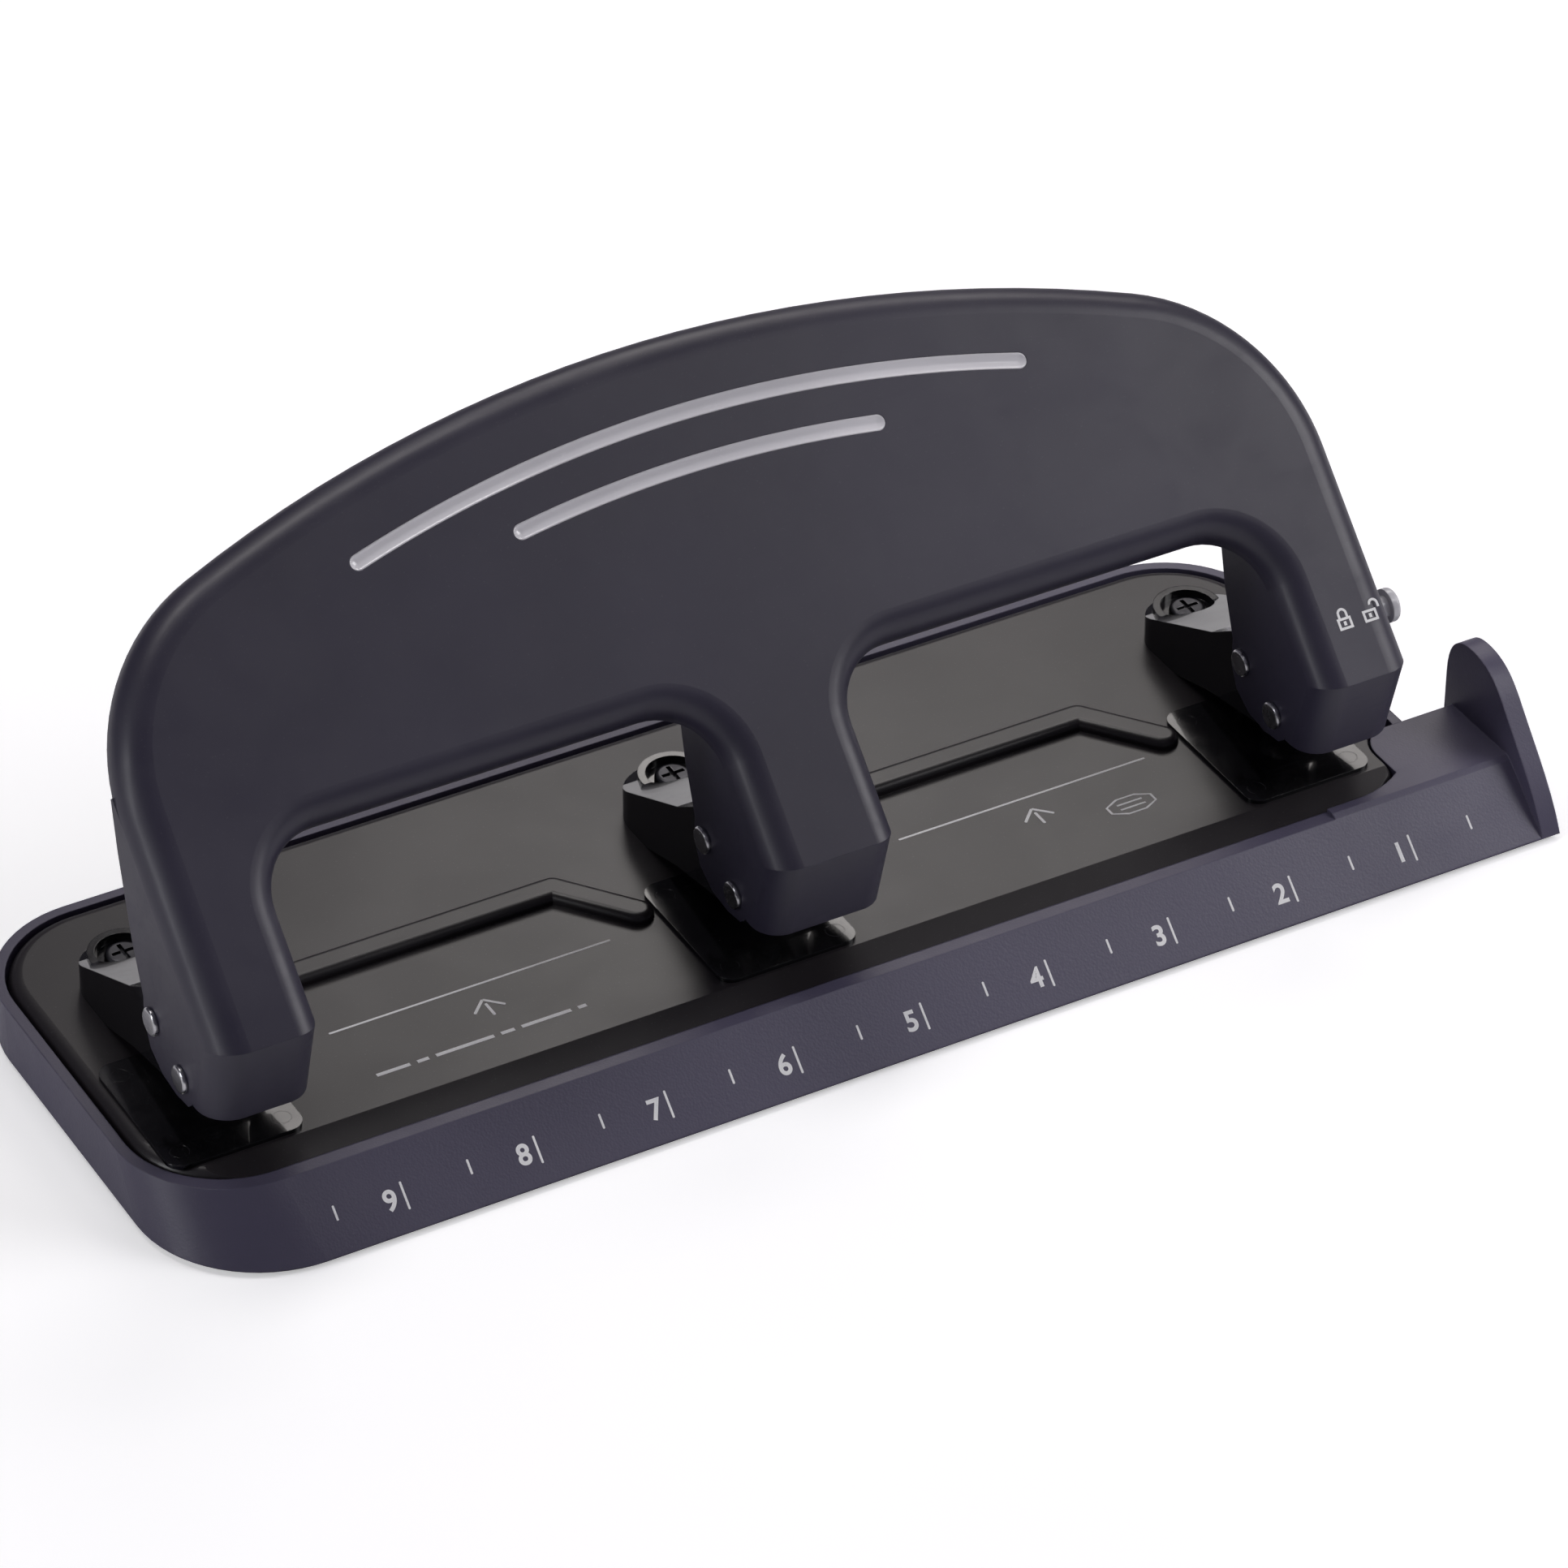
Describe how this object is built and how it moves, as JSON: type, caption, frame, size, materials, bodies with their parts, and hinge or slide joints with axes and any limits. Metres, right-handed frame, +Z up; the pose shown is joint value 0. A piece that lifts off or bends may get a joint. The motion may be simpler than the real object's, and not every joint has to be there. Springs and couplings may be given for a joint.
{
  "type": "hole punch",
  "caption": "Desktop hole punch with a wide arched press handle, spring-returned punch heads on a low tray base, a ruled front edge and a paper stop.",
  "frame": {"origin": "on the table, at the bottom centre of the overall box, paper stop included", "axes": "+X along the punch towards the paper stop, +Y towards the back, +Z up"},
  "size_m": [0.2732, 0.0996, 0.1051],
  "materials": {
    "tray_plastic": "satin moulded lavender grey",
    "plate_paint": "near-black semi-gloss paint",
    "handle_paint": "dark slate satin paint",
    "head_paint": "gloss black paint",
    "lock_plastic": "pale grey glossy plastic",
    "dark_steel": "blackened steel",
    "steel": "ground steel",
    "rubber": "matt black rubber"
  },
  "bodies": {
    "base": {"base_tray": "tray_plastic", "rubber_feet": "rubber", "base_plate": "plate_paint", "die_rivets": "head_paint", "bracket_screws": "dark_steel", "pivot_clips": "dark_steel", "die_plate_left": "head_paint", "die_plate_middle": "head_paint", "die_plate_right": "head_paint", "head_bracket_left": "head_paint", "head_bracket_middle": "head_paint", "head_bracket_right": "head_paint", "punch_guide_left": "dark_steel", "punch_guide_middle": "dark_steel", "punch_guide_right": "dark_steel", "pivot_pin_left": "dark_steel", "pivot_pin_middle": "dark_steel", "pivot_pin_right": "dark_steel", "return_spring_left": "steel", "return_spring_middle": "steel", "return_spring_right": "steel"},
    "chip_door": {"chip_door": "tray_plastic"},
    "handle": {"handle_shell": "handle_paint", "drive_clips": "dark_steel", "drive_pin_left": "dark_steel", "drive_pin_middle": "dark_steel", "drive_pin_right": "dark_steel"},
    "lock": {"lock_button": "lock_plastic"},
    "punch_left": {"punch_pin_left": "steel", "punch_yoke_left": "dark_steel"},
    "punch_middle": {"punch_pin_middle": "steel", "punch_yoke_middle": "dark_steel"},
    "punch_right": {"punch_pin_right": "steel", "punch_yoke_right": "dark_steel"}
  },
  "joints": [
    {"name": "handle_hinge", "type": "hinge", "parent": "base", "child": "handle", "pos_m": [-0.00685, -0.0216, 0.0253], "axis": [1, 0, 0], "range_deg": [-33, 0], "stiffness_Nm_per_rad": 0.5, "springref_deg": 20.05},
    {"name": "lock_slide", "type": "slide", "parent": "handle", "child": "lock", "axis": [-1, 0, 0], "range_m": [0, 0.003]},
    {"name": "chip_door_hinge", "type": "hinge", "parent": "base", "child": "chip_door", "pos_m": [-0.00685, 0.0108, 0.0024], "axis": [1, 0, 0], "range_deg": [0, 100]},
    {"name": "punch_left_slide", "type": "slide", "parent": "base", "child": "punch_left", "axis": [0, 0, 1], "range_m": [-0.0068, 0], "deforming": ["return_spring_left"]},
    {"name": "punch_middle_slide", "type": "slide", "parent": "base", "child": "punch_middle", "axis": [0, 0, 1], "range_m": [-0.0068, 0], "deforming": ["return_spring_middle"]},
    {"name": "punch_right_slide", "type": "slide", "parent": "base", "child": "punch_right", "axis": [0, 0, 1], "range_m": [-0.0068, 0], "deforming": ["return_spring_right"]}
  ],
  "couplings": [
    {"joint": "punch_left_slide", "follows": "handle_hinge", "m_per_rad": 0.011581},
    {"joint": "punch_middle_slide", "follows": "handle_hinge", "m_per_rad": 0.011581},
    {"joint": "punch_right_slide", "follows": "handle_hinge", "m_per_rad": 0.011581}
  ]
}
